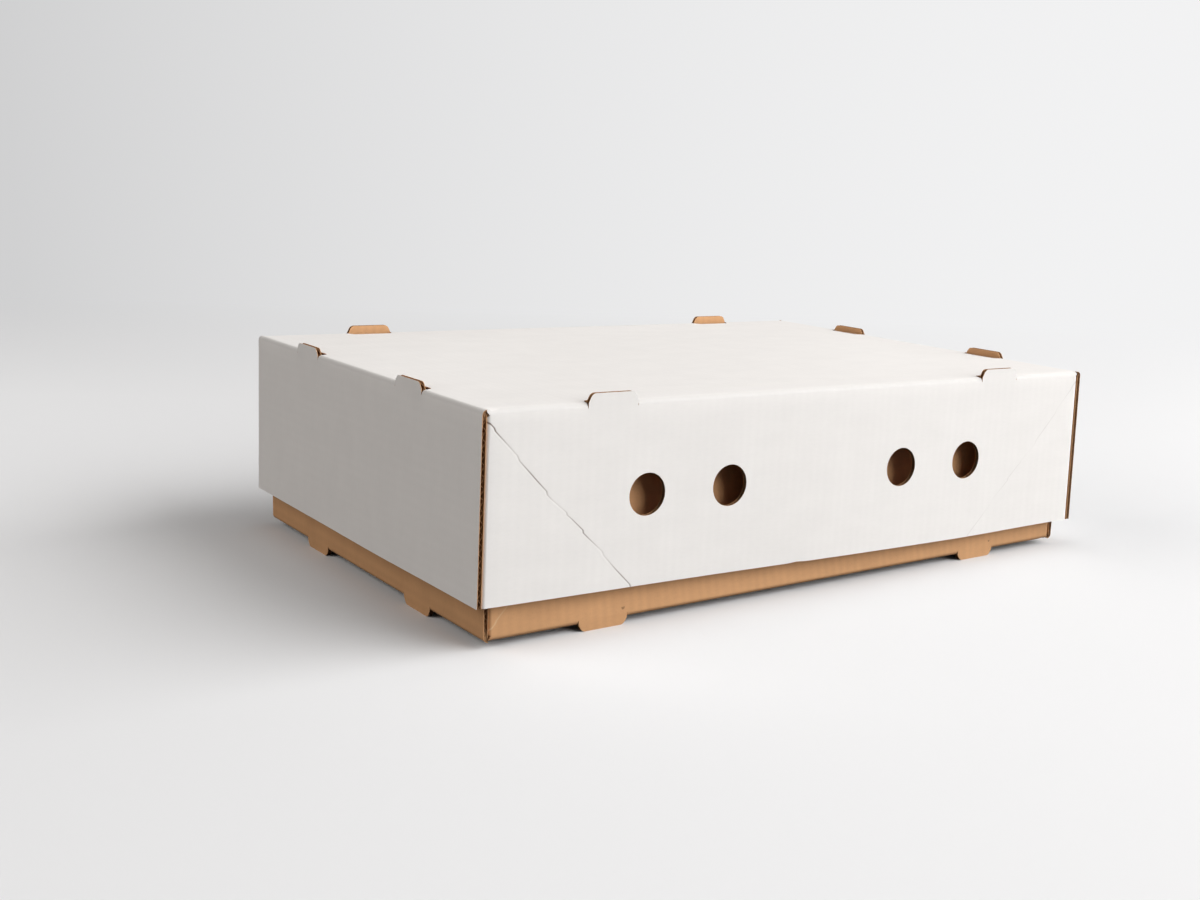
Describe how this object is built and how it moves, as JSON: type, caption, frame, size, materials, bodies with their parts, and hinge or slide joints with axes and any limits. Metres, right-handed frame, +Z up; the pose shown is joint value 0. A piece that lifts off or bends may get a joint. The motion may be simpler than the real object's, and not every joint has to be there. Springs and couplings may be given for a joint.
{
  "type": "meat carton",
  "caption": "Corrugated tray with a full telescope lid, stacking tabs and feet, round air holes and glued folded corners.",
  "frame": {"origin": "on the floor under the middle of the carton", "axes": "+X to the right along the long front wall, +Y to the back, +Z up"},
  "size_m": [0.6028, 0.4, 0.1756],
  "materials": {
    "kraft_board": "matt kraft paper, corrugated board",
    "white_lined_board": "matt white paper liner outside, kraft inside, corrugated board"
  },
  "bodies": {
    "tray": {"tray": "kraft_board"},
    "lid": {"lid": "white_lined_board"}
  },
  "joints": [
    {"name": "lid_lift", "type": "slide", "parent": "tray", "child": "lid", "axis": [0, 0, 1], "range_m": [0, 0.15]}
  ]
}
